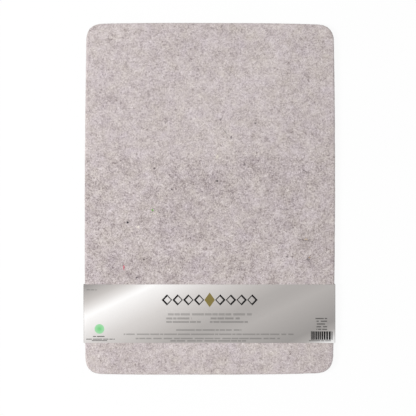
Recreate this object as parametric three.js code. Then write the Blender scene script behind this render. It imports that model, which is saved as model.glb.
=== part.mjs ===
// Wool pressing mat in its card sleeve: a slab of needled felt with rounded corners, and a
// printed card band that is wrapped round it and closed by a taped lap on the underside.
// Millimetres, +Z up, +Y towards the end of the mat that is further from the sleeve. The origin
// lies under the centre of the mat, on the surface that the sleeve rests on.

import * as THREE from "three";

// Felt mat
const matLength = 594; // along Y, between the middles of its two ends
const matWidth = 423; // along X, between the middles of its two sides
const matThickness = 12;
const sideBow = 3.2; // how far each side draws in from its middle to the ends of the mat
const endBow = 1.8; // how far each end draws in from its middle to the sides of the mat
const leftCornerRadius = 23.5;
const rightCornerRadius = 27;
const arrisWidth = 3.2; // the soft round where the cut edge meets the top and bottom faces
const arrisHeight = 2.6;
const edgeBelly = 0.7; // how far the cut edge swells at half its height

// Card sleeve
const cardThickness = 0.35;
const sleeveDepth = 98.5; // along Y, the height of the band
const sleeveFromNearEnd = 54.2; // from the near end of the mat to the band
const leftSlack = 2.2; // room between the card and the widest part of the mat, on the left
const rightSlack = 0.4; // the same on the right
const slidingGap = 0.3; // between the card and the top or bottom face of the mat
const foldRadius = 1.8; // inside radius of the scored folds
const lapWidth = 26; // how far the two ends of the card overlap
const lapOffset = -38; // from the middle of the mat to the middle of the lap, along X
const lapEndGap = 0.4; // from the cut end of the outer flap to where the inner flap steps down
const joggleLength = 9; // run over which the inner flap steps down to the underside

// Adhesive tape in the lap
const tapeThickness = 0.12;
const tapeWidth = 12;
const tapeEndMargin = 3; // from each cut edge of the band to the end of the tape

// Facets
const sideSegments = 26;
const endSegments = 8; // along half of one end
const cornerSegments = 8;
const arrisSegments = 4;
const flankSegments = 4;
const foldSegments = 5;
const joggleSegments = 6;

// Heights, from the surface up: the underside of the card and its outer flap, the tape, the
// inner flap, the sliding gap, the mat, the sliding gap and the top panel of the card.
const undersideHeight = 0;
const tapeBottom = undersideHeight + cardThickness;
const innerFlapBottom = tapeBottom + tapeThickness;
const matBottom = innerFlapBottom + cardThickness + slidingGap;
const matTop = matBottom + matThickness;
const topPanelBottom = matTop + slidingGap;

const sleeveNear = -matLength / 2 + sleeveFromNearEnd;
const sleeveFar = sleeveNear + sleeveDepth;

const felt = new THREE.MeshStandardMaterial({ color: 0xc2b8b7, roughness: 0.97, metalness: 0 });
const foilCard = new THREE.MeshStandardMaterial({ color: 0xc4c0bd, roughness: 0.32, metalness: 0.6 });
const tapeFilm = new THREE.MeshStandardMaterial({ color: 0xe6dfcc, roughness: 0.55, metalness: 0 });

// One quarter of a rounded rectangle in the first quadrant, from its end (x = 0) round the
// corner to its side (y = 0). Both ends are included.
function quarterOutline(halfWidth, halfLength, radius) {
  const points = [];
  for (let i = 0; i < endSegments; i++) {
    points.push(new THREE.Vector2(((halfWidth - radius) * i) / endSegments, halfLength));
  }
  for (let i = 0; i <= cornerSegments; i++) {
    const angle = (Math.PI / 2) * (1 - i / cornerSegments);
    points.push(
      new THREE.Vector2(
        halfWidth - radius + radius * Math.cos(angle),
        halfLength - radius + radius * Math.sin(angle),
      ),
    );
  }
  const sideSteps = sideSegments / 2;
  for (let i = 1; i <= sideSteps; i++) {
    points.push(new THREE.Vector2(halfWidth, (halfLength - radius) * (1 - i / sideSteps)));
  }
  return points;
}

// The mat's outline, drawn in by inset, anticlockwise from the middle of its near end. The second
// half mirrors the first in order, so that point i faces point (length - i) across the mat.
function matOutline(inset) {
  const halfWidth = matWidth / 2 - inset;
  const halfLength = matLength / 2 - inset;
  const right = quarterOutline(halfWidth, halfLength, rightCornerRadius - inset);
  const left = quarterOutline(halfWidth, halfLength, leftCornerRadius - inset);
  const corner = (quarter, signX, signY) =>
    quarter.map((p) => new THREE.Vector2(signX * p.x, signY * p.y));
  const loop = [
    ...corner(right, 1, -1).slice(0, -1),
    ...corner(right, 1, 1).reverse().slice(0, -1),
    ...corner(left, -1, 1).slice(0, -1),
    ...corner(left, -1, -1).reverse().slice(0, -1),
  ];
  return loop.map((p) => {
    const acrossShare = p.x / (matWidth / 2);
    const alongShare = p.y / (matLength / 2);
    return new THREE.Vector2(
      p.x - acrossShare * sideBow * alongShare ** 2,
      p.y - alongShare * endBow * acrossShare ** 2,
    );
  });
}

// The section of the cut edge, from the bottom face to the top face: how far each level of the
// outline is drawn in. A quarter ellipse at each arris, and a parabola's belly between them.
function edgeSection() {
  const belly = (height) => edgeBelly * ((2 * height) / matThickness - 1) ** 2;
  const levels = [];
  for (let i = 0; i <= arrisSegments; i++) {
    const angle = ((Math.PI / 2) * i) / arrisSegments;
    levels.push({
      inset: arrisWidth * (1 - Math.sin(angle)),
      height: arrisHeight * (1 - Math.cos(angle)),
    });
  }
  const flankHeight = matThickness - 2 * arrisHeight;
  for (let i = 1; i < flankSegments; i++) {
    levels.push({ inset: 0, height: arrisHeight + (flankHeight * i) / flankSegments });
  }
  const upper = levels.slice(0, arrisSegments + 1).reverse();
  upper.forEach((level) => {
    levels.push({ inset: level.inset, height: matThickness - level.height });
  });
  return levels.map((level) => ({ ...level, inset: level.inset + belly(level.height) }));
}

// A closed slab lofted through one ring of points for each level of the edge section. Its two
// flat faces are strips from one side of the mat to the other.
function feltSlab() {
  const levels = edgeSection();
  const rings = levels.map((level) => matOutline(level.inset));
  const count = rings[0].length;
  const positions = [];
  rings.forEach((ring, level) => {
    ring.forEach((p) => positions.push(p.x, p.y, levels[level].height));
  });
  const index = [];
  for (let level = 0; level < rings.length - 1; level++) {
    for (let i = 0; i < count; i++) {
      const a = level * count + i;
      const b = level * count + ((i + 1) % count);
      index.push(a, b, b + count, a, b + count, a + count);
    }
  }
  const top = (rings.length - 1) * count;
  const strips = count / 2;
  for (let i = 0; i < strips; i++) {
    const right = i;
    const nextRight = i + 1;
    const left = (count - i) % count;
    const nextLeft = count - i - 1;
    if (nextRight !== nextLeft) {
      index.push(top + right, top + nextRight, top + nextLeft);
      index.push(right, nextLeft, nextRight);
    }
    if (right !== left) {
      index.push(top + right, top + nextLeft, top + left);
      index.push(right, left, nextLeft);
    }
  }
  const geometry = new THREE.BufferGeometry();
  geometry.setAttribute("position", new THREE.Float32BufferAttribute(positions, 3));
  geometry.setIndex(index);
  geometry.computeVertexNormals();
  return geometry;
}

// The middle line of the wrapped card in the XZ plane. It starts at the cut end of the inner
// flap, runs leftwards over the outer flap and steps down to the underside, then goes up the left
// wall, over the top and down the right wall, and comes back underneath as the outer flap.
function wrapLine() {
  const half = cardThickness / 2;
  const left = -matWidth / 2 - leftSlack - half;
  const right = matWidth / 2 + rightSlack + half;
  const low = undersideHeight + half;
  const flapLow = innerFlapBottom + half;
  const high = topPanelBottom + half;
  const radius = foldRadius + half;
  const lapLeft = lapOffset - lapWidth / 2;
  const lapRight = lapOffset + lapWidth / 2;
  const points = [new THREE.Vector2(lapRight, flapLow)];
  for (let i = 0; i <= joggleSegments; i++) {
    const share = i / joggleSegments;
    const ease = (1 - Math.cos(Math.PI * share)) / 2;
    const x = lapLeft - lapEndGap - joggleLength * share;
    points.push(new THREE.Vector2(x, flapLow + (low - flapLow) * ease));
  }
  const fold = (x, z, fromAngle) => {
    for (let i = 0; i <= foldSegments; i++) {
      const angle = fromAngle - ((Math.PI / 2) * i) / foldSegments;
      points.push(new THREE.Vector2(x + radius * Math.cos(angle), z + radius * Math.sin(angle)));
    }
  };
  fold(left + radius, low + radius, -Math.PI / 2);
  fold(left + radius, high - radius, Math.PI);
  fold(right - radius, high - radius, Math.PI / 2);
  fold(right - radius, low + radius, 0);
  points.push(new THREE.Vector2(lapLeft, low));
  return points;
}

// The line moved sideways by distance, to its left as it runs, with mitred corners.
function offsetLine(line, distance) {
  return line.map((point, i) => {
    const before = line[Math.max(i - 1, 0)];
    const after = line[Math.min(i + 1, line.length - 1)];
    const into = point.clone().sub(before);
    const out = after.clone().sub(point);
    if (i === 0) into.copy(out);
    if (i === line.length - 1) out.copy(into);
    const normalIn = new THREE.Vector2(-into.y, into.x).normalize();
    const normalOut = new THREE.Vector2(-out.y, out.x).normalize();
    const mitre = normalIn.clone().add(normalOut).normalize();
    return point.clone().addScaledVector(mitre, distance / mitre.dot(normalIn));
  });
}

// The card: its section, a line with the card's thickness, run along the depth of the band.
function sleeveBand() {
  const line = wrapLine();
  const outer = offsetLine(line, cardThickness / 2);
  const inner = offsetLine(line, -cardThickness / 2);
  const section = new THREE.Shape([...outer, ...inner.reverse()]);
  return new THREE.ExtrudeGeometry(section, { depth: sleeveDepth, bevelEnabled: false });
}

const part = new THREE.Group();

function addMesh(name, geometry, material) {
  const mesh = new THREE.Mesh(geometry, material);
  mesh.name = name;
  part.add(mesh);
  return mesh;
}

addMesh("felt_mat", feltSlab(), felt).position.z = matBottom;

const sleeve = addMesh("sleeve", sleeveBand(), foilCard);
sleeve.rotation.x = Math.PI / 2;
sleeve.position.y = sleeveFar;

const tapeLength = sleeveDepth - 2 * tapeEndMargin;
const tape = new THREE.BoxGeometry(tapeWidth, tapeLength, tapeThickness);
addMesh("lap_tape", tape, tapeFilm).position.set(
  lapOffset,
  (sleeveNear + sleeveFar) / 2,
  tapeBottom + tapeThickness / 2,
);

export default part;
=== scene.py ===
import math

import bpy
import numpy as np
from bpy.props import FloatProperty, FloatVectorProperty, IntProperty, PointerProperty
from bpy.types import Operator, Panel, PropertyGroup
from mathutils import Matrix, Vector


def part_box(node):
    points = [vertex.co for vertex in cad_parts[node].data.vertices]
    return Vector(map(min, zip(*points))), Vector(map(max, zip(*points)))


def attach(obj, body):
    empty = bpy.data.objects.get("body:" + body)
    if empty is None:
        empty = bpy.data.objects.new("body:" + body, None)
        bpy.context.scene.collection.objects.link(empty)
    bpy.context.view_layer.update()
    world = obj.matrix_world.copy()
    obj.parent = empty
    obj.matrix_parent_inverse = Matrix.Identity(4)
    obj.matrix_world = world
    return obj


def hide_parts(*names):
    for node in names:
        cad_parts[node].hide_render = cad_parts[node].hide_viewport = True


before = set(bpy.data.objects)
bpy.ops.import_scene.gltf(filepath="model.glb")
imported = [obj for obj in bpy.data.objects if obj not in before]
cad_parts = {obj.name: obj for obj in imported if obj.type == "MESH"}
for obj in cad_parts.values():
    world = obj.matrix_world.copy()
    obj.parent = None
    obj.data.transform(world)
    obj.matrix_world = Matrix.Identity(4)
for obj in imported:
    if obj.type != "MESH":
        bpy.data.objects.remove(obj)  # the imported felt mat, its card sleeve and the tape in the sleeve's lap

bl_info = {
    "name": "Pressing mat",
    "version": (1, 0, 0),
    "blender": (4, 5, 0),
    "location": "3D view > Sidebar > Pressing mat",
    "description": "A wool felt pressing mat in its printed card sleeve",
    "category": "Add Mesh",
}

# Places that come from the frame, in metres
MAT_LOW, MAT_HIGH = (np.array(corner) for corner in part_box("felt_mat"))
BAND_LOW, BAND_HIGH = (np.array(corner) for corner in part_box("sleeve"))
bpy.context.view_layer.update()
BAND_MIDDLE_Y = (BAND_LOW[1] + BAND_HIGH[1]) / 2
HALF_WIDTH = MAT_HIGH[0]
HALF_LENGTH = MAT_HIGH[1]
MAT_THICKNESS = MAT_HIGH[2] - MAT_LOW[2]

MM = 0.001

# The print on the card and its painted sheen, a reflection of the foil painted into the silver, in metres. The
# slant of the sheen is from the card's long edges, and its stops are pairs of a place across the sheen, in
# millimetres, and a level of silver.
SHEEN_SLANT = math.radians(25.4)
SHEEN_BEND = 0.034
SHEEN_TWIST = 0.164
SHEEN_START, SHEEN_END = -0.136, 0.132
SHEEN_STOPS = ((-136, 0.26), (-111, 0.485), (-99, 0.675), (-91, 0.835), (-86, 0.90), (-80, 0.84),
               (-74, 0.808), (-42, 0.615), (-7, 0.475), (15, 0.405), (27, 0.403), (45, 0.435),
               (98, 0.318), (110, 0.40), (132, 0.95))
# Painted light: the silver is painted lighter towards the far edge of the card and darker towards the near
# one, by this share for each metre along Y. The share loses a part of itself from left to right, over a
# stretch of X.
FADE, FADE_LOSS, FADE_LEFT, FADE_RIGHT = 0.65, 0.68, 0.03, 0.11
ORNAMENT_X, ORNAMENT_Y = -0.0004, -0.1703
LOZENGE_PITCH, LOZENGES_PER_SIDE = 0.0180, 4
LOZENGE_HALF_WIDTH, LOZENGE_HALF_HEIGHT, MIDDLE_EXTRA_HEIGHT = 0.0089, 0.0094, 0.0030
HOLE_SIZE, HOLE_SHIFT = 0.645, 0.0009

# Lines of dashes: left and right end, middle height, weight, and strength of the ink
DASHED_LINES = (
    (-0.0735, 0.0705, -0.1946, 0.0038, 0.37), (-0.0735, -0.0305, -0.2015, 0.0033, 0.42),
    (0.0012, 0.0504, -0.2015, 0.0033, 0.44), (-0.0735, -0.0153, -0.2074, 0.0031, 0.43),
    (0.0000, 0.0640, -0.2074, 0.0031, 0.43), (-0.0568, 0.0531, -0.2210, 0.0026, 0.42),
    (-0.1452, 0.1410, -0.2282, 0.0026, 0.39), (-0.1250, 0.1180, -0.2353, 0.0024, 0.41),
    (-0.0666, 0.0610, -0.2393, 0.0026, 0.41), (-0.1970, -0.1774, -0.2319, 0.0018, 0.85),
    (-0.2110, -0.1604, -0.2364, 0.0016, 0.80), (-0.1990, -0.1730, -0.2389, 0.0014, 0.85),
    (-0.2076, -0.1905, -0.1534, 0.0014, 0.55), (0.1668, 0.2040, -0.2390, 0.0022, 0.60),
    (0.1778, 0.1975, -0.2017, 0.0021, 0.85),
    *((0.1795, 0.1975, height, 0.0021, 0.85) for height in (-0.2062, -0.2109, -0.2155, -0.2199)),
)
# The dashes break where a noise of this wavelength is under a level, and each line reads the noise
# this much farther along than the last.
DASH_LENGTH, DASH_BREAK, LINE_SHIFT = 0.0058, 0.38, 0.61
# The green disc deepens towards its middle, over this share of its radius.
MARK_X, MARK_Y, MARK_RADIUS, MARK_BLEND = -0.1860, -0.2192, 0.0081, 0.9
BARS_LEFT, BARS_RIGHT, BARS_LOW, BARS_HIGH = 0.1702, 0.2064, -0.2375, -0.2233
BAR_PITCH, BAR_GROWTH, BAR_SHARE = 0.0015, 0.0003, 0.74

# The worn strip along each fold of the card, from the outside of the sleeve inwards. The left one is darkened
# by a share of painted shade, the right one paled by another share as a painted highlight, and the cracks bare
# the board in part.
CREASE_OUTER, CREASE_INNER = 0.0006, 0.0036
CREASE_SHADE_COLOUR, LEFT_CREASE_SHADE, RIGHT_CREASE_HIGHLIGHT, CRACKS = (0.05, 0.05, 0.05), 0.20, 0.16, 0.35
CRACK_LOW, CRACK_HIGH = 0.60, 0.72

# Noises of the felt's pattern: wavelength in metres, octaves, roughness and place in the noise. The
# lines of fibre have a wavelength, a width and a place.
CLUMPS, TUFTS, BLOTCHES = (0.0038, 2, 0.70, 0), (0.0019, 1, 0.60, 1.3), (0.012, 2, 0.55, 3.1)
PATCHES, CLOUDS = (0.027, 1, 0.50, 5.9), (0.095, 1, 0.50, 7.7)
SPECKLE, TINT, GRAIN = (0.0048, 1, 0.40, 15.5), (0.026, 4, 0.72, 21.3), (0.0011, 2, 0.60, 2.2)
PALE_LINES = (0.0075, 0.045, 1.7), (0.0051, 0.05, 4.9)
DARK_LINES = (0.0066, 0.045, 9.2), (0.0044, 0.05, 12.4)
# Their shares in the felt's shade, its middle and its contrast
CLUMP_SHARE, TUFT_SHARE, BLOTCH_SHARE, PATCH_SHARE, CLOUD_SHARE = 0.86, 0.52, 0.51, 0.20, 0.25
PALE_SHARE, DARK_SHARE, SPECKLE_SHARE = 0.16, 0.22, 0.22
SPECKLE_LOW, SPECKLE_HIGH = 0.69, 0.78
MIDDLE_SHADE, CONTRAST = 0.559, 0.965
# Their shares in its bump
CLUMP_HEIGHT, LINE_HEIGHT, GRAIN_HEIGHT = 0.6, 0.25, 0.4
# Mauve and beige that multiply the felt's colour, at two levels of the tint
TINTS = ((0.30, (0.986, 0.975, 1.026)), (0.70, (1.009, 1.011, 0.974)))

# A belt across the whole width of the mat is a shade darker and more mottled. It blends in over a
# stretch of Y, its edges wander with the clouds, and it takes from the shade and adds to the
# contrast and to the shares of the patches and the speckle.
BELT_LOW, BELT_HIGH, BELT_BLEND, BELT_WANDER = -0.185, 0.064, 0.016, 0.02
BELT_SHADE, BELT_CONTRAST, BELT_PATCHES, BELT_SPECKLE = 0.072, 0.135, 0.14, 0.16

# Unevenness of the flat faces: the setting that holds its height, wavelength in millimetres, seed
FACE_WAVES = (("tuft_height", 3.4, 11), ("lump_height", 11, 12), ("swell_height", 75, 13))
# Unevenness of the cut edge: share of its height, wavelength in millimetres, seed
EDGE_WAVES = ((0.6, 4.2, 21), (0.4, 1.9, 22), (0.8, 34, 23))
# Slow waves of the card: wavelength in metres, seed
RIPPLE_LENGTH, RIPPLE_SEED = 0.062, 41

# Seeds of the fibres' random draws
PALE_SEED, DARK_SEED, SPECK_SEED, FUZZ_SEED = 51, 52, 61, 31

# Strands in a speck at its own place and in a dull one, and their length and the spread of their
# starts as multiples of its radius. The dull ones' colours run from a brown to a share of the dark
# fibres' colour.
SPECK_STRANDS, DULL_STRANDS, STRAND_LENGTH, STRAND_SPREAD = 44, 6, 2.2, 0.42
DULL_BROWN, DULL_DARK = (0.26, 0.20, 0.17), 0.7
# Specks of stray fibre on the upper face: X and Y in millimetres, radius in millimetres, stretch
# along Y, and colour
SPECKS = (
    (-96.4, -19.0, 1.05, 1.0, (0.23, 0.60, 0.10)),
    (-138.7, -39.9, 1.4, 1.0, (0.01, 0.01, 0.02)),
    (-144.9, -116.1, 1.15, 4.6, (0.92, 0.17, 0.26)),
    (12.0, 30.2, 1.0, 1.0, (0.02, 0.02, 0.02)),
    (58.4, 57.7, 1.5, 1.0, (0.33, 0.28, 0.29)),
    (-110.9, -102.3, 0.85, 1.2, (0.17, 0.14, 0.14)),
    (-123.3, -132.9, 0.65, 1.0, (0.17, 0.15, 0.17)),
    (35.9, 102.6, 1.2, 2.3, (0.31, 0.26, 0.28)),
    (-93.3, 51.1, 1.2, 1.0, (0.20, 0.16, 0.17)),
    (-64.7, 15.7, 0.9, 1.0, (0.22, 0.18, 0.19)),
    (76.8, 126.9, 1.1, 1.0, (0.33, 0.29, 0.29)),
    (17.9, 133.6, 1.1, 1.0, (0.39, 0.35, 0.35)),
    (164.3, -102.0, 2.3, 0.45, (0.38, 0.33, 0.33)),
    (129.4, -97.4, 1.5, 0.45, (0.37, 0.33, 0.33)),
    (168.0, -98.6, 0.9, 1.0, (0.60, 0.45, 0.32)),
    (161.8, -68.3, 2.2, 0.25, (0.69, 0.57, 0.46)),
    (12.5, 71.1, 2.3, 1.0, (0.97, 0.91, 0.83)),
    (160.1, -40.9, 1.9, 1.0, (0.90, 0.83, 0.81)),
    (-120.6, -48.0, 2.4, 1.0, (0.99, 0.93, 0.87)),
    (-92.5, -23.8, 4.6, 0.6, (0.91, 0.84, 0.80)),
)
# Single long fibres: first and last end, in millimetres, bend in radians, radius in millimetres,
# and colour
LONG_FIBRES = (
    (19.5, 126.9, 31.3, 107.5, 0.2, 0.50, (0.90, 0.85, 0.83)),
    (20.4, 119.8, 28.2, 109.2, -0.3, 0.42, (0.10, 0.08, 0.09)),
    (141.3, -64.2, 172.3, -72.2, 0.1, 0.30, (0.06, 0.05, 0.055)),
    (154.0, 51.4, 165.0, 43.8, 0.2, 0.40, (0.07, 0.055, 0.06)),
    (119.6, -20.5, 133.9, -19.5, -1.6, 0.20, (0.17, 0.14, 0.16)),
    (-60.0, 180.0, -48.0, 168.0, 1.2, 0.20, (0.92, 0.88, 0.84)),
    (90.0, -98.0, 104.0, -88.0, -1.1, 0.20, (0.92, 0.87, 0.84)),
    (-20.0, -262.0, -6.0, -268.0, 1.0, 0.20, (0.90, 0.86, 0.80)),
    (70.0, 225.0, 80.0, 238.0, 1.4, 0.20, (0.15, 0.13, 0.14)),
    (-172.0, 60.0, -165.0, 44.0, 0.9, 0.20, (0.16, 0.13, 0.15)),
)

# Half the floor's side and how far it lies under the object, the lamp's size and place, and the
# width of the camera's sensor in millimetres
FLOOR_REACH, FLOOR_DROP = 6.0, 0.0001
LAMP_SIZE, LAMP_PLACE = 1.1, (-1.7, -0.1, 2.0)
SENSOR_WIDTH = 36


# Settings

def a_length(name, description, millimetres):
    """A size that a user may change. It is given in millimetres and kept in metres."""
    return FloatProperty(
        name=name, description=description, default=millimetres * MM, unit="LENGTH")


def a_colour(name, description, default):
    """A colour that a user may change, as linear red, green and blue."""
    return FloatVectorProperty(
        name=name, description=description, default=default, subtype="COLOR")


class FeltSettings(PropertyGroup):
    """The slab of needled felt"""

    left_bow: a_length("Left bow", "How far the left side draws in towards the ends", 2.2)
    right_bow: a_length("Right bow", "How far the right side draws in towards the ends", 3.1)
    end_bow: a_length("End bow", "How far each end draws in towards the sides", 2.55)
    lean: a_length("Lean", "How far the far end leans to the right", 0.74)
    taper: a_length("Taper", "How much each end closes in towards the right", 0.66)
    left_corner: a_length("Left corners", "Reach of the two corners on the left", 30)
    right_corner: a_length("Right corners", "Reach of the two corners on the right", 31.5)
    fullness: FloatProperty(
        name="Corner fullness", description="How much farther than an arc a corner reaches at its middle",
        default=0.085, subtype="FACTOR")
    arris_width: a_length("Arris width", "Width of the soft round at the rim of the flat faces", 3.2)
    arris_height: a_length("Arris height", "Height of the soft round at the rim of the flat faces", 2.6)
    edge_belly: a_length("Edge belly", "How far the cut edge swells at half its height", 0.7)
    step: a_length("Mesh step", "Spacing of the grid on the flat faces", 1.6)
    tuft_height: a_length("Tufts", "Height of the finest unevenness of the faces", 0.07)
    lump_height: a_length("Lumps", "Height of the lumps about a centimetre across", 0.07)
    swell_height: a_length("Swells", "Height of the broad swells of the faces", 0.06)
    draw_in: a_length("Draw in", "How far the dense edge lies inside the outline of the fuzz", 0.2)
    edge_roughness: a_length("Edge roughness", "How uneven the cut edge is", 0.28)
    pale: a_colour("Pale wool", "Colour of the palest fibres", (0.810, 0.745, 0.732))
    body: a_colour("Wool", "Colour of the felt at large", (0.566, 0.502, 0.494))
    dark: a_colour("Dark wool", "Colour of the darkest fibres", (0.259, 0.212, 0.213))


class FibreSettings(PropertyGroup):
    """The loose fibres on the felt"""

    surface_count: IntProperty(
        name="Fibres on the face", description="Number of pale fibres, and of dark ones",
        default=2600)
    surface_length: a_length("Length on the face", "Mean length of a fibre on the upper face", 8)
    surface_radius: a_length("Radius on the face", "Radius of a fibre on the upper face", 0.11)
    speck_count: IntProperty(
        name="Dull specks", description="Number of small dull specks at random places",
        default=110)
    fuzz_count: IntProperty(
        name="Fuzz", description="Number of short fibres on the cut edge",
        default=4600)
    fuzz_length: a_length("Length of the fuzz", "Mean length of a fibre on the cut edge", 1.2)
    fuzz_radius: a_length("Radius of the fuzz", "Radius of a fibre on the cut edge", 0.05)
    pale: a_colour("Pale fibres", "Colour of the pale fibres", (0.80, 0.74, 0.72))
    dark: a_colour("Dark fibres", "Colour of the dark fibres", (0.205, 0.165, 0.167))


class BandSettings(PropertyGroup):
    """The printed card sleeve"""

    card: a_length("Card", "Thickness of the card", 0.35)
    tape: a_length("Tape", "Thickness of the tape between the two flaps", 0.12)
    fold_radius: a_length("Fold radius", "Inside radius of the scored folds", 1.8)
    lap_width: a_length("Lap width", "How far the two ends of the card overlap", 26)
    lap_offset: a_length("Lap place", "From the middle of the mat to the middle of the lap", -38)
    lap_end_gap: a_length("Lap gap", "From the cut end of the outer flap to the step", 0.4)
    joggle: a_length("Step length", "Run over which the inner flap steps down", 9)
    step: a_length("Mesh step", "Spacing of the grid on the card", 2.5)
    pillow: a_length("Pillow", "How far the card bulges between its folds and cut edges", 0.25)
    left_hug: a_length("Left hug", "How much closer than the solid the left wall lies", 0.90)
    right_hug: a_length("Right hug", "How much closer than the solid the right wall lies", 0.80)
    press: a_length("Press", "How far the cut edges of the card press in towards the felt", 0.12)
    ripple: a_length("Ripple", "Height of the card's slow waves", 0.08)
    ink: a_colour("Black ink", "Colour of the black ornament", (0.006, 0.005, 0.005))
    small_ink: a_colour("Grey ink", "Colour of the dashed lines", (0.090, 0.087, 0.083))
    gold: a_colour("Gold ink", "Colour of the ornament's middle", (0.23, 0.18, 0.055))
    green: a_colour("Green ink", "Colour of the round mark at its rim", (0.335, 0.68, 0.375))
    deep_green: a_colour("Deep green ink", "Colour of the round mark at its middle", (0.19, 0.60, 0.23))
    board: a_colour("Board", "Colour of the bare back and cut edges of the card", (0.70, 0.69, 0.66))


class StageSettings(PropertyGroup):
    """Floor, light and camera"""

    lens: FloatProperty(
        name="Lens", description="Focal length in millimetres", default=100)
    view_width: a_length("View width", "Width of the view at the mat's upper face", 700.95)
    camera_x: a_length("Camera X", "Camera's place across the mat", -3.2)
    camera_y: a_length("Camera Y", "Camera's place along the mat", -15.5)
    sky: FloatProperty(
        name="Sky", description="Strength of the even light from all round", default=0.60)
    lamp: FloatProperty(
        name="Lamp", description="Power of the soft lamp, in watts", default=37)
    floor: a_colour("Floor", "Colour of the floor", (0.97, 0.97, 0.97))
    floor_glow: FloatProperty(
        name="Floor glow", description="Share of plain white in the floor that the camera sees",
        default=0.92, subtype="FACTOR")


GROUPS = {
    "mat_felt": FeltSettings,
    "mat_fibres": FibreSettings,
    "mat_band": BandSettings,
    "mat_stage": StageSettings,
}


# Numbers and meshes

def table_noise(points, wavelength, seed, size=64):
    """Smooth noise from -1 to 1. A seeded table holds one random value for each corner of a cubic
    lattice with that wavelength, and between corners the value follows 3t^2 - 2t^3 on each axis."""
    table = np.random.default_rng(seed).uniform(-1, 1, (size, size, size))
    scaled = np.asarray(points) / wavelength
    cell = np.floor(scaled).astype(int)
    share = scaled - cell
    share = share * share * (3 - 2 * share)
    total = np.zeros(len(scaled))
    for corner in np.ndindex(2, 2, 2):
        weight = np.prod(np.where(corner, share, 1 - share), axis=1)
        i, j, k = ((cell + corner) % size).T
        total += weight * table[i, j, k]
    return total


def grid_faces(rows, columns, wrap=False):
    """Quads between neighbouring rows and columns of a grid of points that is stored row by row.
    With wrap, the last column joins the first."""
    across = columns if wrap else columns - 1
    row, column = np.meshgrid(np.arange(rows - 1), np.arange(across), indexing="ij")
    this, following = row * columns + column, row * columns + (column + 1) % columns
    return np.stack([this, following, following + columns, this + columns], axis=-1).reshape(-1, 4)


def grid_rim(number):
    """The numbers round the outside of a grid of them, once round."""
    return np.concatenate([number[0, :-1], number[:-1, -1], number[-1, :0:-1], number[:0:-1, 0]])


def build(name, points, faces, material_index=None, smooth=True):
    """A mesh object from an array of points and a list of arrays of faces."""
    corners = np.concatenate([part.ravel() for part in faces])
    sizes = np.concatenate([np.full(len(part), part.shape[1]) for part in faces])
    starts = np.concatenate([[0], np.cumsum(sizes)[:-1]])
    mesh = bpy.data.meshes.new(name)
    mesh.vertices.add(len(points))
    mesh.vertices.foreach_set("co", np.asarray(points, np.float32).ravel())
    mesh.loops.add(len(corners))
    mesh.loops.foreach_set("vertex_index", corners.astype(np.int32))
    mesh.polygons.add(len(sizes))
    mesh.polygons.foreach_set("loop_start", starts.astype(np.int32))
    mesh.update(calc_edges=True)
    mesh.polygons.foreach_set("use_smooth", np.full(len(sizes), smooth))
    if material_index is not None:
        mesh.polygons.foreach_set("material_index", np.asarray(material_index, np.int32))
    mesh.validate()
    piece = bpy.data.objects.new(name, mesh)
    bpy.context.scene.collection.objects.link(piece)
    return piece


def point_normals(piece):
    """The mesh's own vertex normals, as an array."""
    normals = np.zeros(len(piece.data.vertices) * 3, np.float32)
    piece.data.vertex_normals.foreach_get("vector", normals)
    return normals.reshape(-1, 3)


# The felt slab's form

def bowed(x, y, felt):
    """Draws the sides and ends of the outline in: x loses its share of the half width times its
    side's bow times the square of y's share of the half length, and y loses its share times the
    end bow times the cube of x's share without its sign. The lean adds y's share to x, and the
    taper takes the product of both shares off y."""
    across, along = x / HALF_WIDTH, y / HALF_LENGTH
    side_bow = np.where(across < 0, felt.left_bow, felt.right_bow)
    return (x - across * side_bow * along ** 2 + felt.lean * along,
            y - along * (felt.end_bow * np.abs(across) ** 3 + felt.taper * across))


def rounded_plan(a, b, inset, felt):
    """Maps a and b, each from -1 to 1, onto the mat's outline drawn in by inset. The map is plain
    scaling, but in the square that holds a corner's arc a point at shares u and v of the square
    goes to u times the root of 1 - v^2/2, and v times the root of 1 - u^2/2, which lays the
    square's outer edges on the arc and leaves its inner edges where they were. Both then grow by
    the fullness times 2(uv)^2 - (uv)^4, which is most at the middle of the arc."""
    half_x, half_y = HALF_WIDTH - inset, HALF_LENGTH - inset
    radius = np.where(a < 0, felt.left_corner, felt.right_corner) - inset
    x, y = np.abs(a) * half_x, np.abs(b) * half_y
    u = np.clip((x - half_x + radius) / radius, 0, 1)
    v = np.clip((y - half_y + radius) / radius, 0, 1)
    corner = (u > 0) & (v > 0)
    swell = radius * (1 + felt.fullness * (2 * (u * v) ** 2 - (u * v) ** 4))
    x = np.where(corner, half_x - radius + swell * u * np.sqrt(1 - v * v / 2), x)
    y = np.where(corner, half_y - radius + swell * v * np.sqrt(1 - u * u / 2), y)
    return bowed(np.sign(a) * x, np.sign(b) * y, felt)


def edge_profile(felt, arris_steps=7, flank_steps=6):
    """The section of the cut edge from the lower face to the upper one, as insets and heights: a
    quarter ellipse at each arris, and over the whole height a parabola that swells by the belly."""
    turn = np.linspace(0, math.pi / 2, arris_steps + 1)
    arris = np.stack([felt.arris_width * (1 - np.sin(turn)),
                      felt.arris_height * (1 - np.cos(turn))])
    flank = np.linspace(felt.arris_height, MAT_THICKNESS - felt.arris_height, flank_steps + 1)[1:-1]
    inset = np.concatenate([arris[0], np.zeros(len(flank)), arris[0][::-1]])
    height = np.concatenate([arris[1], flank, MAT_THICKNESS - arris[1][::-1]])
    belly = felt.edge_belly * (2 * height / MAT_THICKNESS - 1) ** 2
    return felt.draw_in + inset + belly, height


def face_relief(x, y, z, felt):
    """Height of the felt's unevenness: three noises added up, from tufts to broad swells."""
    points = np.stack([x, y, z], axis=1)
    return sum(getattr(felt, height) * table_noise(points, wavelength * MM, seed)
               for height, wavelength, seed in FACE_WAVES)


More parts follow.
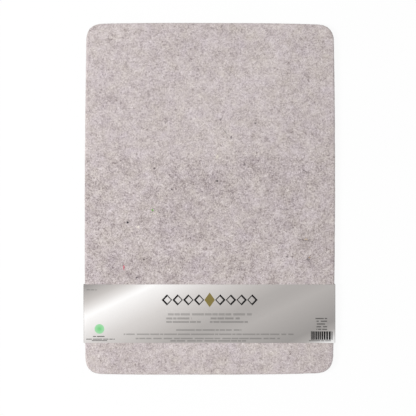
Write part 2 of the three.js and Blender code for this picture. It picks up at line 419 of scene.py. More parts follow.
def make_felt_slab(felt):
    """The slab: one grid for each flat face, joined by rings that carry the rim of the grid down
    the cut edge. Every point then moves along its normal, on the faces by the relief and on the
    edge by a coarser noise, and in the arris by a blend of the two."""
    inset, height = edge_profile(felt)
    columns = round(2 * HALF_WIDTH / felt.step) + 1
    rows = round(2 * HALF_LENGTH / felt.step) + 1
    b, a = np.meshgrid(np.linspace(-1, 1, rows), np.linspace(-1, 1, columns), indexing="ij")
    a, b = a.ravel(), b.ravel()
    rim = grid_rim(np.arange(rows * columns).reshape(rows, columns))
    x, y = rounded_plan(a, b, inset[0], felt)
    lower = np.stack([x, y, np.full(x.shape, MAT_LOW[2])], axis=1)
    upper = lower + (0, 0, MAT_THICKNESS)
    rings = []
    for level in range(1, len(inset) - 1):
        x, y = rounded_plan(a[rim], b[rim], inset[level], felt)
        rings.append(np.stack([x, y, np.full(x.shape, MAT_LOW[2] + height[level])], axis=1))
    points = np.concatenate([lower, upper, *rings])
    face = grid_faces(rows, columns)
    ring_numbers = 2 * len(lower) + np.arange(len(rings) * len(rim)).reshape(-1, len(rim))
    loops = np.concatenate([[rim], ring_numbers, [rim + len(lower)]])
    flank = loops.ravel()[grid_faces(len(loops), len(rim), wrap=True)]
    slab = build("felt_slab", points, [face[:, ::-1], face + len(lower), flank])

    normals = point_normals(slab)
    x, y, z = points.T
    on_edge = 1 - np.abs(normals[:, 2]) ** 2
    relief = face_relief(x, y, z, felt) * (1 - on_edge)
    rough = sum(share * table_noise(points, wavelength * MM, seed)
                for share, wavelength, seed in EDGE_WAVES)
    moved = points + normals * (relief + felt.edge_roughness * on_edge * rough)[:, None]
    slab.data.vertices.foreach_set("co", moved.astype(np.float32).ravel())
    slab.data.update()
    return slab


# Fibres

def thin_tubes(name, centre, side, radius, tint):
    """Tubes of three sides round rows of middle points. A ring's points are its middle plus the
    radius times the cosine of each turn along the side and the sine of it upwards. The first and
    last ring are capped, and every point carries its tube's tint."""
    count, rings = radius.shape
    turn = np.arange(3)[:, None] * 2 * math.pi / 3
    spokes = np.cos(turn) * side[:, :, None] + np.sin(turn) * np.array([0, 0, 1])
    points = centre[:, :, None] + radius[:, :, None, None] * spokes
    first = (np.arange(count) * rings * 3)[:, None, None]
    last = (rings - 1) * 3
    caps = np.array([[2, 1, 0], [last, last + 1, last + 2]])
    piece = build(name, points.reshape(-1, 3), [
        (grid_faces(rings, 3, wrap=True) + first).reshape(-1, 4), (caps + first).reshape(-1, 3)])
    colours = np.repeat(np.c_[tint, np.ones(count)], rings * 3, axis=0)
    attribute = piece.data.attributes.new("tint", "FLOAT_COLOR", "POINT")
    attribute.data.foreach_set("color", colours.astype(np.float32).ravel())
    return piece


def strands(name, start, heading, bend, wave, length, radius, lift, felt, tint,
            segments=7, tip=0.35):
    """Strands that lie on the felt. A strand's heading at share s of its length is its first
    heading plus bend times s plus wave times the sine of one and a half turns of s. Its points
    are the running sum of steps along the heading, its height is the felt's own relief plus lift
    times the sine of half a turn of s, and its radius tapers to the tip's share at both ends."""
    share = np.linspace(0, 1, segments + 1)
    angle = heading[:, None] + bend[:, None] * share + wave[:, None] * np.sin(3 * math.pi * share)
    step = (length / segments)[:, None]
    x = start[:, :1] + np.cumsum(np.cos(angle) * step, axis=1)
    y = start[:, 1:] + np.cumsum(np.sin(angle) * step, axis=1)
    top = np.full(x.size, MAT_HIGH[2])
    relief = face_relief(x.ravel(), y.ravel(), top, felt).reshape(x.shape)
    z = MAT_HIGH[2] + relief + lift[:, None] * np.sin(math.pi * share)
    tube = radius[:, None] * (tip + (1 - tip) * np.sin(math.pi * share))
    side = np.stack([-np.sin(angle), np.cos(angle), np.zeros(angle.shape)], axis=-1)
    return thin_tubes(name, np.stack([x, y, z], axis=-1), side, tube, tint)


def scattered_fibres(name, seed, colour, fibres, felt):
    """Fibres at random places and headings all over the upper face. Each has its own length, bend
    and shade, from one seeded generator."""
    rng = np.random.default_rng(seed)
    count = fibres.surface_count
    margin = felt.arris_width + fibres.surface_length * 0.8
    start = rng.uniform(-1, 1, (count, 2)) * (HALF_WIDTH - margin, HALF_LENGTH - margin)
    length = fibres.surface_length * rng.uniform(0.45, 1.5, count)
    shade = rng.uniform(0.7, 1.15, count)
    return strands(
        name, start, rng.uniform(0, 2 * math.pi, count), rng.normal(0, 1.6, count),
        rng.normal(0, 0.55, count), length, fibres.surface_radius * rng.uniform(0.6, 1.2, count),
        rng.uniform(0, 0.05 * MM, count), felt, np.array(colour)[None] * shade[:, None])


def stray_specks(fibres, felt):
    """Specks and single long fibres. A speck is a tangle of short strands whose starts are spread
    in a disc by a normal distribution, first the ones at their own places and then dull ones at
    random. In a speck that is stretched or flattened to twice or more, the strands lie along it.
    A long fibre is one strand from end to end."""
    rng = np.random.default_rng(SPECK_SEED)
    table = np.array([(*speck[:4], *speck[4]) for speck in SPECKS])
    random_count, margin = fibres.speck_count, 8 * MM
    dull = rng.uniform(0, 1, (random_count, 1))
    dull = dull * np.array(fibres.dark) * DULL_DARK + (1 - dull) * DULL_BROWN
    spread = rng.uniform(-1, 1, (random_count, 2)) * (HALF_WIDTH - margin, HALF_LENGTH - margin)
    centre = np.concatenate([table[:, :2] * MM, spread])
    size = np.concatenate([table[:, 2], rng.uniform(0.25, 0.55, random_count)]) * MM
    stretch = np.concatenate([table[:, 3], np.ones(random_count)])
    colour = np.concatenate([table[:, 4:], dull])
    each = np.concatenate([np.full(len(table), SPECK_STRANDS), np.full(random_count, DULL_STRANDS)])
    pick = np.repeat(np.arange(len(centre)), each)
    count = len(pick)
    reach = np.stack([size, size * stretch], axis=1)[pick]
    length = STRAND_LENGTH * size[pick]
    combed = np.abs(np.log2(stretch[pick])) > 1
    along = np.where(stretch[pick] > 1, math.pi / 2, 0)
    heading = np.where(combed, along + rng.normal(0, 0.25, count),
                       rng.uniform(0, 2 * math.pi, count))
    start = centre[pick] + rng.normal(0, STRAND_SPREAD, (count, 2)) * reach
    start -= 0.5 * length[:, None] * np.stack([np.cos(heading), np.sin(heading)], axis=1)
    ends = np.array([(*fibre[:6], *fibre[6]) for fibre in LONG_FIBRES])
    first, last = ends[:, :2] * MM, ends[:, 2:4] * MM
    run = last - first
    bend, thickness = ends[:, 4], ends[:, 5]
    calm = np.where(combed, 0.3, 1.0)
    return strands(
        "stray_specks", np.concatenate([start, first]),
        np.concatenate([heading, np.arctan2(run[:, 1], run[:, 0]) - bend / 2]),
        np.concatenate([rng.normal(0, 2.5, count) * calm, bend]),
        np.concatenate([rng.normal(0, 0.6, count) * calm, rng.normal(0, 0.2, len(ends))]),
        np.concatenate([length, np.linalg.norm(run, axis=1)]),
        np.concatenate([rng.uniform(0.11, 0.17, count), thickness]) * MM,
        np.concatenate([rng.uniform(0.02, 0.14, count), np.full(len(ends), 0.12)]) * MM,
        felt, np.concatenate([colour[pick] * rng.uniform(0.85, 1.15, (count, 1)), ends[:, 6:]]))


def edge_fuzz(fibres, felt, segments=3, root=0.25 * MM, clearance=0.1 * MM):
    """Short fibres that stand out of the cut edge. Each starts on the outline at its own height and
    runs outwards with its own slant, and it bends along the edge by the square of its share."""
    rng = np.random.default_rng(FUZZ_SEED)
    count = fibres.fuzz_count
    corners = np.cumsum([0, HALF_WIDTH, HALF_LENGTH, HALF_WIDTH, HALF_LENGTH]) * 2
    along = rng.uniform(0, 1, count) * corners[-1]
    a = np.interp(along, corners, [-1, 1, 1, -1, -1])
    b = np.interp(along, corners, [-1, -1, 1, 1, -1])
    level = rng.uniform(0.06, 0.94, count) * MAT_THICKNESS
    inset, height = edge_profile(felt)
    depth = np.interp(level, height, inset) + root
    x, y = rounded_plan(a, b, depth, felt)
    outer_x, outer_y = rounded_plan(a, b, depth - MM, felt)
    out = np.stack([outer_x - x, outer_y - y], axis=1)
    out /= np.linalg.norm(out, axis=1)[:, None]
    tangent = np.stack([-out[:, 1], out[:, 0]], axis=1)
    share = np.linspace(0, 1, segments + 1)
    length = fibres.fuzz_length * rng.uniform(0.4, 1.6, count)
    slant = rng.normal(0, 0.8, count)
    rise = rng.normal(0, 0.45, count) * length
    reach = length[:, None] * share
    curl = (rng.normal(0, 0.5, count) * length)[:, None] * share ** 2
    plan = (np.stack([x, y], axis=1)[:, None]
            + out[:, None] * (reach / np.sqrt(1 + slant[:, None] ** 2))[:, :, None]
            + tangent[:, None] * (reach * slant[:, None] / 2 + curl)[:, :, None])
    z = MAT_LOW[2] + level[:, None] + rise[:, None] * share
    z = np.clip(z, MAT_LOW[2] + clearance, MAT_HIGH[2] - clearance)
    centre = np.concatenate([plan, z[:, :, None]], axis=2)
    radius = fibres.fuzz_radius * rng.uniform(0.6, 1.3, count)[:, None] * (1 - 0.6 * share)
    side = np.concatenate([tangent, np.zeros((count, 1))], axis=1)[:, None]
    pick = rng.uniform(0, 1, count)[:, None]
    tint = np.array(fibres.pale) * (1 - pick) + np.array(felt.body) * pick
    return thin_tubes("edge_fuzz", centre, side, radius, tint)


# The card sleeve's form

def wrap_path(band, step_points=13, fold_points=11):
    """The middle line of the wrapped card in X and Z, from the cut end of the inner flap, down the
    cosine step, up the left wall, over the top, down the right wall and back to the outer flap's
    end. Each fold is a quarter circle, and the straight runs are cut to the mesh step."""
    half = band.card / 2
    left, right = BAND_LOW[0] + band.left_hug + half, BAND_HIGH[0] - band.right_hug - half
    low, high = BAND_LOW[2] + half, BAND_HIGH[2] - half
    flap = low + band.card + band.tape
    radius = band.fold_radius + half
    lap_left = band.lap_offset - band.lap_width / 2
    lap_right = band.lap_offset + band.lap_width / 2
    share = np.linspace(0, 1, step_points)
    ease = (1 - np.cos(math.pi * share)) / 2
    runs = [np.array([[lap_right, flap]]),
            np.stack([lap_left - band.lap_end_gap - band.joggle * share,
                      flap + (low - flap) * ease], axis=1)]
    centres = [(left + radius, low + radius, -90), (left + radius, high - radius, 180),
               (right - radius, high - radius, 90), (right - radius, low + radius, 0)]
    for x, z, degrees in centres:
        turn = np.radians(degrees - np.linspace(0, 90, fold_points))
        runs.append(np.stack([x + radius * np.cos(turn), z + radius * np.sin(turn)], axis=1))
    runs.append(np.array([[lap_left, low]]))
    path = np.concatenate(runs)
    length = np.concatenate([[0], np.cumsum(np.linalg.norm(np.diff(path, axis=0), axis=1))])
    even = [np.linspace(start, start + gap, max(1, round(gap / band.step)), endpoint=False)
            for start, gap in zip(length, np.diff(length))]
    at = np.concatenate([*even, length[-1:]])
    return np.stack([np.interp(at, length, path[:, k]) for k in range(2)], axis=1)


def make_card_band(band):
    """The card: the wrap path moved half a thickness to each side of its normal and run along Y as
    two grids, closed by strips along the four cut edges. Both grids move out together: on top by
    half a sine wave along the card's depth, times 1 less the eighth power of the share across, and
    on a wall by 1 less the square of the share of its height."""
    path = wrap_path(band)
    tangent = np.gradient(path, axis=0)
    tangent /= np.linalg.norm(tangent, axis=1)[:, None]
    outward = np.stack([-tangent[:, 1], tangent[:, 0]], axis=1)
    depth = BAND_HIGH[1] - BAND_LOW[1]
    rows = round(depth / band.step) + 1
    share = np.linspace(0, 1, rows)
    y = BAND_LOW[1] + depth * share

    middle_x, middle_z = (BAND_LOW[0] + BAND_HIGH[0]) / 2, (BAND_LOW[2] + BAND_HIGH[2]) / 2
    across = np.clip((path[:, 0] - middle_x) / (BAND_HIGH[0] - middle_x), -1, 1)
    up = np.clip((path[:, 1] - middle_z) / (BAND_HIGH[2] - middle_z), -1, 1)
    free = np.where(path[:, 1] > middle_z, 1 - across ** 8, 0)[:, None]
    wall = (np.abs(outward[:, 0]) * (1 - up ** 2))[:, None]
    arch = np.sin(math.pi * share)
    spots = np.stack(np.broadcast_arrays(path[:, :1], y[None], 0.0), axis=-1).reshape(-1, 3)
    wave = table_noise(spots, RIPPLE_LENGTH, RIPPLE_SEED).reshape(len(path), rows)
    pillow = (free * (band.pillow * arch - band.press * (1 - arch) + band.ripple * wave)
              + wall * band.pillow * (0.5 + 0.5 * arch))

    grids = []
    for side in (0.5, -0.5):
        offset = side * band.card + pillow
        x = path[:, :1] + outward[:, :1] * offset
        z = path[:, 1:] + outward[:, 1:] * offset
        grids.append(np.stack([x, np.broadcast_to(y, x.shape), z], axis=-1).reshape(-1, 3))
    count = len(grids[0])
    inner = grid_faces(len(path), rows)
    rim = grid_rim(np.arange(count).reshape(len(path), rows))
    loops = np.stack([rim, rim + count])
    edge = loops.ravel()[grid_faces(2, len(rim), wrap=True)]
    faces = [inner[:, ::-1], inner + count, edge]
    slots = np.repeat([0, 1, 1], [len(f) for f in faces])
    card = build("card_band", np.concatenate(grids), faces, slots)
    card.data.set_sharp_from_angle(angle=math.radians(40))
    return card


# Materials

class Value:
    """A number that varies over a surface: a socket that takes part in arithmetic. Each operator
    adds one Math node."""

    def __init__(self, shader, socket):
        self.shader = shader
        self.socket = socket

    def math(self, operation, *others):
        terms = dict(enumerate((self, *others)))
        node = self.shader.node("ShaderNodeMath", {"operation": operation}, terms)
        return Value(self.shader, node.outputs[0])

    def __add__(self, other):
        return self.math("ADD", other)

    def __sub__(self, other):
        return self.math("SUBTRACT", other)

    def __mul__(self, other):
        return self.math("MULTIPLY", other)

    def __truediv__(self, other):
        return self.math("DIVIDE", other)

    def __rsub__(self, other):
        return self.math("MULTIPLY_ADD", -1, other)

    def __rtruediv__(self, other):
        return Value(self.shader, other).math("DIVIDE", self)

    def __abs__(self):
        return self.math("ABSOLUTE")

    def __gt__(self, other):
        return self.math("GREATER_THAN", other)

    def __lt__(self, other):
        return self.math("LESS_THAN", other)

    __radd__ = __add__
    __rmul__ = __mul__

    def either(self, other):
        """The greater of the two, which joins masks."""
        return self.math("MAXIMUM", other)

    def smooth(self, low, high):
        """0 below low, 1 above high, and 3t^2 - 2t^3 between them."""
        node = self.shader.node(
            "ShaderNodeMapRange", {"interpolation_type": "SMOOTHSTEP"},
            {"Value": self, "From Min": low, "From Max": high})
        return Value(self.shader, node.outputs["Result"])


class Shader:
    """The nodes of a new material, or of the world. node() adds any node, and the other methods
    name the ones in use here."""

    def __init__(self, owner):
        owner.use_nodes = True
        self.owner = owner
        self.tree = owner.node_tree
        self.tree.nodes.clear()

    def node(self, kind, settings=None, inputs=None):
        """Adds a node of that kind. Its settings are set first; a ramp's stops are pairs of place
        and colour. Then each input takes a value, a socket or a Value."""
        node = self.tree.nodes.new(kind)
        for key, value in (settings or {}).items():
            if key == "stops":
                while len(node.color_ramp.elements) < len(value):
                    node.color_ramp.elements.new(1)
                for element, (place, colour) in zip(node.color_ramp.elements, value):
                    element.position = place
                    element.color = (*colour, 1)
            else:
                setattr(node, key, value)
        for key, value in (inputs or {}).items():
            value = getattr(value, "socket", value)
            if isinstance(value, bpy.types.NodeSocket):
                self.tree.links.new(value, node.inputs[key])
            elif hasattr(value, "__len__") and len(value) == 3 and node.inputs[key].type == "RGBA":
                node.inputs[key].default_value = (*value, 1)
            else:
                node.inputs[key].default_value = value
        return node

    def place(self, stretch=(1, 1, 1)):
        """Object coordinates in metres, each axis times its own number."""
        coordinates = self.node("ShaderNodeTexCoord").outputs["Object"]
        if stretch == (1, 1, 1):
            return coordinates
        return self.node("ShaderNodeVectorMath", {"operation": "MULTIPLY"},
                         {0: coordinates, 1: stretch}).outputs[0]

    def axes(self):
        """The three object coordinates, as values."""
        split = self.node("ShaderNodeSeparateXYZ", inputs={0: self.place()})
        return [Value(self, socket) for socket in split.outputs]

    def noise(self, place, wavelength, octaves=2, roughness=0.5, shift=0, distortion=0):
        """Noise about 0.5 with that wavelength. Shift moves it to another part of the pattern."""
        moved = self.node("ShaderNodeVectorMath", {"operation": "ADD"},
                          {0: place, 1: (shift, shift, shift)}).outputs[0]
        node = self.node("ShaderNodeTexNoise", inputs={
            "Vector": moved, "Scale": 1 / wavelength, "Detail": octaves, "Roughness": roughness,
            "Distortion": distortion})
        return Value(self, node.outputs[0])

    def line(self, place, wavelength, width, shift, distortion=0.8):
        """Thin curved lines, where a noise crosses its middle value: 1 on the line, falling
        smoothly to 0 where the noise is width away from it."""
        away = abs(self.noise(place, wavelength, 1, 0.5, shift, distortion) - 0.5)
        return 1 - away.smooth(0, width)

    def ramp(self, value, stops):
        return self.node("ShaderNodeValToRGB", {"stops": stops}, {"Fac": value}).outputs["Color"]

    def mix(self, share, first, second, blend="MIX"):
        """Colour first where share is 0, second where it is 1."""
        node = self.node("ShaderNodeMix", {"data_type": "RGBA", "blend_type": blend},
                         {"Factor": share, 6: first, 7: second})
        return node.outputs[2]

    def multiply(self, first, second):
        """The product of two colours, or of a colour and a value."""
        return self.mix(1, first, second, "MULTIPLY")

    def bump(self, height, distance, strength):
        return self.node("ShaderNodeBump", inputs={
            "Height": height, "Distance": distance, "Strength": strength}).outputs["Normal"]

    def finish(self, inputs):
        """Ends the material in one Principled surface."""
        surface = self.node("ShaderNodeBsdfPrincipled", inputs=inputs)
        self.node("ShaderNodeOutputMaterial", inputs={"Surface": surface.outputs[0]})
        return self.owner


def felt_material(felt):
    """Heathered wool: clumps, blotches and clouds of shade, crossed by pale and dark lines that
    run like fibres, with a little mauve and beige in patches and dark specks. On the cut edge the
    pattern is drawn out along the edge, because the needled layers lie flat."""
    s = Shader(bpy.data.materials.new("wool_felt"))
    place = s.place((1, 1, 2.6))
    clumps, tufts, blotches, patches, clouds = (
        s.noise(place, *row) - 0.5 for row in (CLUMPS, TUFTS, BLOTCHES, PATCHES, CLOUDS))
    pale_lines, dark_lines = (
        s.line(place, *first) + s.line(place, *second) for first, second in (PALE_LINES, DARK_LINES))
    speckle = s.noise(place, *SPECKLE).smooth(SPECKLE_LOW, SPECKLE_HIGH)
    edge = s.axes()[1] + clouds * BELT_WANDER
    belt = (edge.smooth(BELT_LOW - BELT_BLEND, BELT_LOW)
            * (1 - edge.smooth(BELT_HIGH, BELT_HIGH + BELT_BLEND)))
    mottle = (clumps * CLUMP_SHARE + tufts * TUFT_SHARE + blotches * BLOTCH_SHARE
              + pale_lines * PALE_SHARE - dark_lines * DARK_SHARE
              - speckle * (belt * BELT_SPECKLE + SPECKLE_SHARE))
    shade = (mottle * (belt * BELT_CONTRAST + CONTRAST) + MIDDLE_SHADE - belt * BELT_SHADE
             + clouds * CLOUD_SHARE + patches * (belt * BELT_PATCHES + PATCH_SHARE))
    colour = s.ramp(shade, [(0, felt.dark), (0.5, felt.body), (1, felt.pale)])
    colour = s.multiply(colour, s.ramp(s.noise(place, *TINT), TINTS))
    height = clumps * CLUMP_HEIGHT + pale_lines * LINE_HEIGHT + s.noise(place, *GRAIN) * GRAIN_HEIGHT
    return s.finish({
        "Base Color": colour, "Roughness": 0.95, "Specular IOR Level": 0.15,
        "Sheen Weight": 0.10, "Sheen Roughness": 0.5,
        "Normal": s.bump(height, 0.25 * MM, 0.7)})


def fibre_material():
    """Wool fibre: the strand's own tint, a little uneven along its length."""
    s = Shader(bpy.data.materials.new("wool_fibre"))
    tint = s.node("ShaderNodeAttribute", {"attribute_name": "tint"}).outputs["Color"]
    uneven = s.noise(s.place(), 2.2 * MM, 1)
    colour = s.multiply(tint, s.ramp(uneven, [(0.3, (0.86,) * 3), (0.7, (1.08,) * 3)]))
    return s.finish({
        "Base Color": colour, "Roughness": 0.75, "Specular IOR Level": 0.3,
        "Sheen Weight": 0.2})


def grey(level, warmest=0.06):
    """A slightly warm silver: green keeps the level, and the warmth fades out towards white."""
    warmth = warmest * min(1, 2 * (1 - level))
    return (level * (1 + warmth), level, level * (1 - 0.6 * warmth))


def sheen_place(x, y):
    """Where a point of the card lies across the sheen painted on it, in metres. It is x times the sine of the
    slant less y times its cosine, from the middle of the sleeve, less a bend that grows with x squared, plus a
    twist that grows with x times y."""
    y = y - BAND_MIDDLE_Y
    slanted = x * math.sin(SHEEN_SLANT) - y * math.cos(SHEEN_SLANT)
    return slanted - x * x * SHEEN_BEND + x * y * SHEEN_TWIST


def between(value, low, high):
    """1 where the value lies between low and high."""
    return (value > low) * (value < high)


def ornament(x, y):
    """A chain of open lozenges, as its black part and its gold middle. The lozenges stand at an even
    pitch, and a lozenge is where a point's shares of its half width and half height add up to
    under 1. Its hole is where they add up to less, from a point nearer the chain's middle, so
    that the outer sides are the bold ones. The middle lozenge is taller and filled."""
    across, up = abs(x - ORNAMENT_X), abs(y - ORNAMENT_Y)
    number = (across / LOZENGE_PITCH).math("ROUND")
    middle = number < 0.5
    out = across - number * LOZENGE_PITCH
    rise = up / (middle * MIDDLE_EXTRA_HEIGHT + LOZENGE_HALF_HEIGHT)
    lozenge = (abs(out) / LOZENGE_HALF_WIDTH + rise < 1) * (number < LOZENGES_PER_SIDE + 0.5)
    hole = abs(out + HOLE_SHIFT) / LOZENGE_HALF_WIDTH + rise < HOLE_SIZE
    return lozenge * (1 - hole.either(middle)), lozenge * middle


def dashed_lines(s, x, y):
    """Lines of short and long grey dashes: each line is a bar with its own ends, middle height,
    weight and ink, which breaks where a noise along x is low. Each line reads its own stretch of
    the noise."""
    ink = shift = 0
    for number, (left, right, height, weight, strength) in enumerate(DASHED_LINES):
        line = between(x, left, right) * (abs(y - height) < weight / 2)
        ink = line * strength + ink
        shift = line * (number * LINE_SHIFT) + shift
    along = s.node("ShaderNodeCombineXYZ", inputs={0: x + shift}).outputs[0]
    return ink * (s.noise(along, DASH_LENGTH, 0) > DASH_BREAK)


def plain_bars(x, y):
    """Upright bars that stand for nothing. Each is wider than the last by the growth, so bar n starts
    at n pitches plus half n squared growths, and a place's n is that sum's inverse. Ink fills the
    same share of every pitch."""
    run = ((x - BARS_LEFT) * (2 * BAR_GROWTH) + BAR_PITCH ** 2).math("SQRT") - BAR_PITCH
    bars = (run / BAR_GROWTH).math("FRACT") < BAR_SHARE
    return bars * between(x, BARS_LEFT, BARS_RIGHT) * between(y, BARS_LOW, BARS_HIGH)


def print_material(band):
    """Silver printed card: pale bands of painted sheen, a reflection of the foil painted into its colour,
    cross it on a slant, with an ornament, dashed lines, a round mark and a block of plain bars on the panel
    that faces up. The silver also holds a painted fall-off of light towards the near edge, painted shade on
    the left fold and a painted highlight on the right one."""
    s = Shader(bpy.data.materials.new("silver_print"))
    x, y, z = s.axes()
    faces_up = z > MAT_HIGH[2]
    # The sheen: a reflection of the foil, painted into the silver as a ramp across a slanted place
    place = (sheen_place(x, y) - SHEEN_START) / (SHEEN_END - SHEEN_START)
    stops = [((at * MM - SHEEN_START) / (SHEEN_END - SHEEN_START), grey(level))
             for at, level in SHEEN_STOPS]
    # Painted light: the silver darkens towards the card's near edge
    painted_falloff = (y - BAND_MIDDLE_Y) * (1 - x.smooth(FADE_LEFT, FADE_RIGHT) * FADE_LOSS) * FADE
    silver = s.multiply(s.ramp(place, stops), painted_falloff + 1)

    ring = ((x - MARK_X) * (x - MARK_X) + (y - MARK_Y) * (y - MARK_Y)).math("SQRT") / MARK_RADIUS
    mark = s.mix(ring.smooth(0, MARK_BLEND), band.deep_green, band.green)
    shapes = (*ornament(x, y), dashed_lines(s, x, y), ring < 1, plain_bars(x, y))
    black, gold, dashes, green, bars = (shape * faces_up for shape in shapes)
    inked = black.either(gold).either(dashes).either(green).either(bars)
    grain = s.noise(s.place(), 0.7 * MM, 2)
    handling = s.noise(s.place(), 26 * MM, 3, 0.6, shift=4.4)
    left, right = BAND_LOW[0] + band.left_hug, BAND_HIGH[0] - band.right_hug
    left_crease = 1 - x.smooth(left + CREASE_OUTER, left + CREASE_INNER)
    right_crease = x.smooth(right - CREASE_INNER, right - CREASE_OUTER)
    crease = left_crease + right_crease
    cracks = s.noise(s.place((1, 0.35, 1)), 0.8 * MM, 2, shift=8.8).smooth(CRACK_LOW, CRACK_HIGH)
    colour = silver
    # The left crease takes painted shade and the right one a painted highlight in the board's colour; the
    # cracks are wear
    for share, layer in ((green, mark), (dashes, band.small_ink), (gold, band.gold),
                         (black.either(bars), band.ink), (left_crease * LEFT_CREASE_SHADE, CREASE_SHADE_COLOUR),
                         (right_crease * RIGHT_CREASE_HIGHLIGHT, band.board),
                         (crease * cracks * CRACKS, band.board)):
        colour = s.mix(share, colour, layer)
    return s.finish({
        "Base Color": colour, "Metallic": 0.35 - inked.either(crease) * 0.33,
        "Roughness": 0.26 + handling * 0.12 + crease * 0.4, "Specular IOR Level": 0.12,
        "Coat Weight": 0.10, "Coat Roughness": 0.12,
        "Normal": s.bump(grain + handling * 2, 0.012 * MM, 0.4)})


def board_material(band):
    """The card's bare back and cut edges: grey-white board with fine fibre flecks."""
    s = Shader(bpy.data.materials.new("bare_board"))
    flecks = s.noise(s.place(), 0.8 * MM, 3, 0.6)
    pale, dark = np.array(band.board) * 1.06, np.array(band.board) * 0.90
    return s.finish({
        "Base Color": s.ramp(flecks, [(0.35, dark), (0.65, pale)]), "Roughness": 0.85,
        "Normal": s.bump(flecks, 0.02 * MM, 0.4)})


def tape_material():
    """Double-sided tape: a pale film with faint cloudiness."""
    s = Shader(bpy.data.materials.new("tape_film"))
    cloud = s.noise(s.place(), 5 * MM, 2)
    return s.finish({
        "Base Color": s.ramp(cloud, [(0.3, (0.72, 0.67, 0.54)), (0.7, (0.82, 0.78, 0.66))]),
        "Roughness": 0.5})


def floor_material(stage):
    """The floor is plain and pale. What the camera, a reflection or a clear part sees of it is
    mixed with plain white, so that it reads white and still holds a soft shadow."""
    s = Shader(bpy.data.materials.new("pale_floor"))
    seen = seen_directly(s)
    plain = s.node("ShaderNodeBsdfDiffuse", inputs={"Color": stage.floor})
    glow = s.node("ShaderNodeEmission", inputs={"Color": (1, 1, 1), "Strength": 1})
    mixed = s.node("ShaderNodeMixShader", inputs={
        0: seen * stage.floor_glow, 1: plain.outputs[0], 2: glow.outputs[0]})
    s.node("ShaderNodeOutputMaterial", inputs={"Surface": mixed.outputs[0]})
    return s.owner


def seen_directly(shader):
    """1 on camera, glossy and transmission rays, and 0 on the rays that carry light."""
    path = shader.node("ShaderNodeLightPath")
    camera, glossy, clear = (Value(shader, path.outputs[name]) for name in (
        "Is Camera Ray", "Is Glossy Ray", "Is Transmission Ray"))
    return camera.either(glossy).either(clear)


# Operators

class PieceOperator:
    """What the operators share."""

    bl_options = {"REGISTER", "UNDO"}

    @staticmethod
    def dress(piece, materials, slot, body):
        for material in materials:
            piece.data.materials.append(material)
        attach(piece, body)


class MAT_OT_felt_slab(PieceOperator, Operator):
    """Makes the felt slab, which stands for the plain solid of the frame"""

    bl_idname = "pressing_mat.felt_slab"
    bl_label = "Felt slab"

    def execute(self, context):
        felt = context.scene.mat_felt
        slab = make_felt_slab(felt)
        self.dress(slab, [felt_material(felt)], "wool_felt", "mat")
        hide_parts("felt_mat")
        return {"FINISHED"}


class MAT_OT_fibres(PieceOperator, Operator):
    """Lays loose fibres on the felt and stands a fuzz on its cut edge"""

    bl_idname = "pressing_mat.fibres"
    bl_label = "Loose fibres"

    def execute(self, context):
        felt, fibres = context.scene.mat_felt, context.scene.mat_fibres
        wool = fibre_material()
        made = [scattered_fibres("pale_fibres", PALE_SEED, fibres.pale, fibres, felt),
                scattered_fibres("dark_fibres", DARK_SEED, fibres.dark, fibres, felt),
                stray_specks(fibres, felt), edge_fuzz(fibres, felt)]
        for piece in made:
            self.dress(piece, [wool], "wool_felt", "mat")
        return {"FINISHED"}


class MAT_OT_card_band(PieceOperator, Operator):
    """Makes the printed card sleeve, and gives the tape in its lap a finish"""

    bl_idname = "pressing_mat.card_band"
    bl_label = "Card sleeve"

    def execute(self, context):
        band = context.scene.mat_band
        card = make_card_band(band)
        self.dress(card, [print_material(band), board_material(band)], "foil_card", "band")
        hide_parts("sleeve")
        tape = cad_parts["lap_tape"]
        tape.data.materials.clear()
        tape.data.materials.append(tape_material())
        return {"FINISHED"}


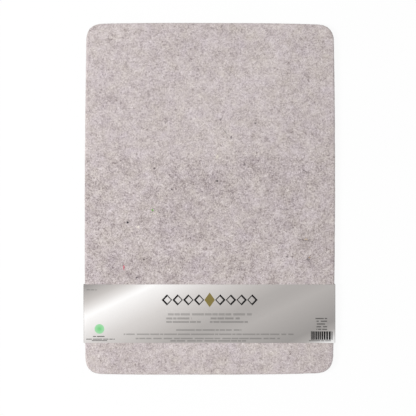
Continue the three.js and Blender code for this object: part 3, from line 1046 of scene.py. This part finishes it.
class MAT_OT_stage(Operator):
    """Makes the floor, the light and the camera"""

    bl_idname = "pressing_mat.stage"
    bl_label = "Floor, light and camera"

    def execute(self, context):
        scene, stage = context.scene, context.scene.mat_stage
        square = np.array([[-1, -1, 0], [1, -1, 0], [1, 1, 0], [-1, 1, 0]]) * FLOOR_REACH
        floor = build("floor", square - (0, 0, FLOOR_DROP), [np.array([[0, 1, 2, 3]])], smooth=False)
        floor.data.materials.append(floor_material(stage))

        scene.world = bpy.data.worlds.new("studio")
        sky = Shader(scene.world)
        strength = seen_directly(sky) * (1 - stage.sky) + stage.sky
        light = sky.node("ShaderNodeBackground", inputs={"Color": (1, 1, 1), "Strength": strength})
        sky.node("ShaderNodeOutputWorld", inputs={"Surface": light.outputs[0]})

        lamp = bpy.data.lights.new("soft_lamp", "AREA")
        lamp.shape, lamp.size, lamp.energy = "DISK", LAMP_SIZE, stage.lamp
        placed = bpy.data.objects.new("soft_lamp", lamp)
        placed.location = LAMP_PLACE
        aim = -placed.location.normalized()
        placed.rotation_euler = aim.to_track_quat("-Z", "Y").to_euler()
        scene.collection.objects.link(placed)

        camera = bpy.data.cameras.new("camera")
        camera.lens, camera.sensor_width = stage.lens, SENSOR_WIDTH
        seat = bpy.data.objects.new("camera", camera)
        distance = stage.view_width * stage.lens / SENSOR_WIDTH
        seat.location = (stage.camera_x, stage.camera_y, MAT_HIGH[2] + distance)
        scene.collection.objects.link(seat)
        scene.camera = seat
        scene.view_settings.view_transform = "Standard"
        return {"FINISHED"}


class MAT_PT_sidebar(Panel):
    """Lists the pieces"""

    bl_label = "Pressing mat"
    bl_space_type = "VIEW_3D"
    bl_region_type = "UI"
    bl_category = "Pressing mat"

    def draw(self, context):
        for operator in OPERATORS:
            self.layout.operator(operator.bl_idname)
        for name in GROUPS:
            settings = getattr(context.scene, name)
            for key in settings.__annotations__:
                self.layout.prop(settings, key)


OPERATORS = (MAT_OT_stage, MAT_OT_felt_slab, MAT_OT_fibres, MAT_OT_card_band)


def register():
    for cls in (*GROUPS.values(), *OPERATORS, MAT_PT_sidebar):
        bpy.utils.register_class(cls)
    for name, group in GROUPS.items():
        setattr(bpy.types.Scene, name, PointerProperty(type=group))


def unregister():
    for name in GROUPS:
        delattr(bpy.types.Scene, name)
    for cls in reversed((*GROUPS.values(), *OPERATORS, MAT_PT_sidebar)):
        bpy.utils.unregister_class(cls)


def main():
    register()
    bpy.ops.pressing_mat.stage()
    bpy.ops.pressing_mat.felt_slab()
    bpy.ops.pressing_mat.fibres()
    bpy.ops.pressing_mat.card_band()


if __name__ == "__main__":
    main()
